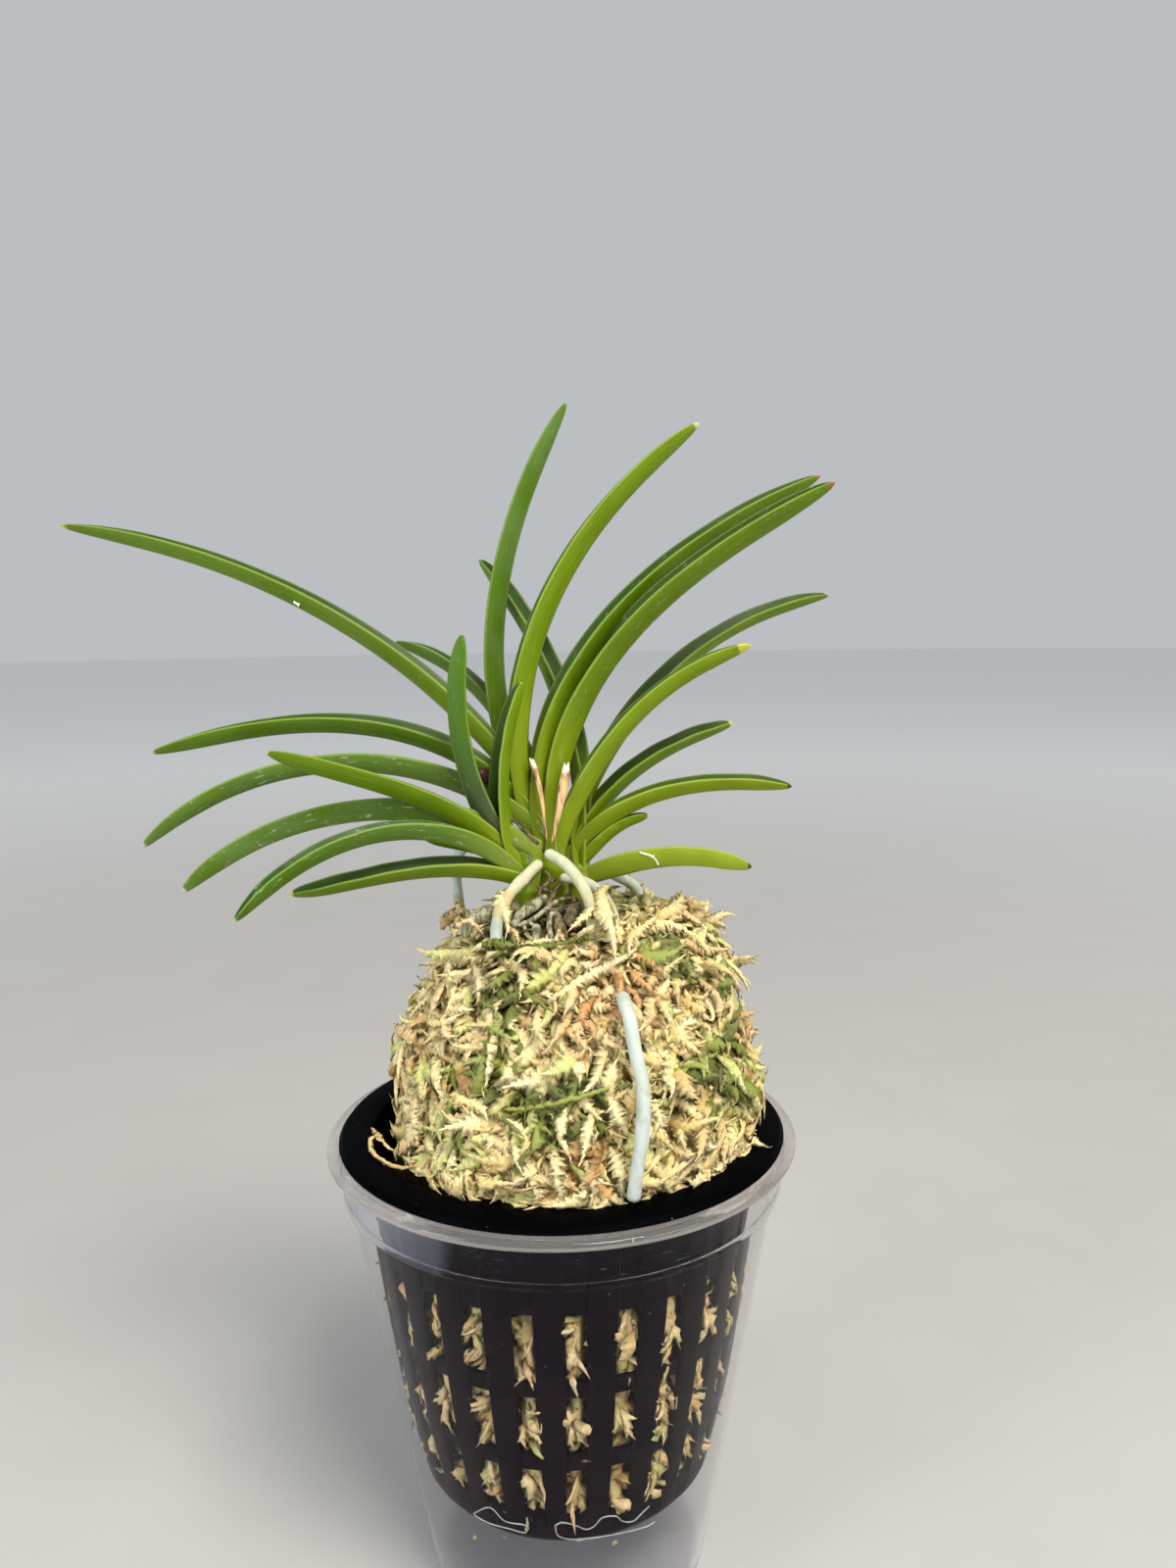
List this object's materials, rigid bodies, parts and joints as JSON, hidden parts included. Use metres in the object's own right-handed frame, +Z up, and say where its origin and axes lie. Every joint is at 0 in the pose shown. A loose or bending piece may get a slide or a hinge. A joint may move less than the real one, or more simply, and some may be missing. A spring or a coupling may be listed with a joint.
{
  "type": "potted orchid",
  "caption": "Small orchid with folded, arching leaves growing in a mound of moss, in a slotted net pot that hangs by its flange in a clear cup.",
  "frame": {"origin": "centre of the clear cup's flat underside, where it stands", "axes": "+Z up, +X to the right of the front view, -Y to the front"},
  "size_m": [0.1276, 0.0758, 0.1914],
  "materials": {
    "clear_plastic": "clear, gloss",
    "black_plastic": "satin",
    "leaf": "waxy, satin",
    "root": "chalky matt",
    "dry_sheath": "papery matt",
    "flower_stalk": "satin",
    "moss": "fibrous matt"
  },
  "bodies": {
    "root": {"clear_cup": "clear_plastic", "net_pot": "black_plastic", "growth_centre": "leaf", "growth_left": "leaf", "growth_right": "leaf", "growth_back": "leaf", "root_front_left": "root", "root_front_middle": "root", "root_front_right": "root", "root_back_right": "root", "root_back_left": "root", "root_hollow": "root", "root_mound_front": "root", "dry_sheath_left": "dry_sheath", "dry_sheath_right": "dry_sheath", "flower_stalk_stub": "flower_stalk", "moss_mound": "moss"}
  },
  "joints": []
}
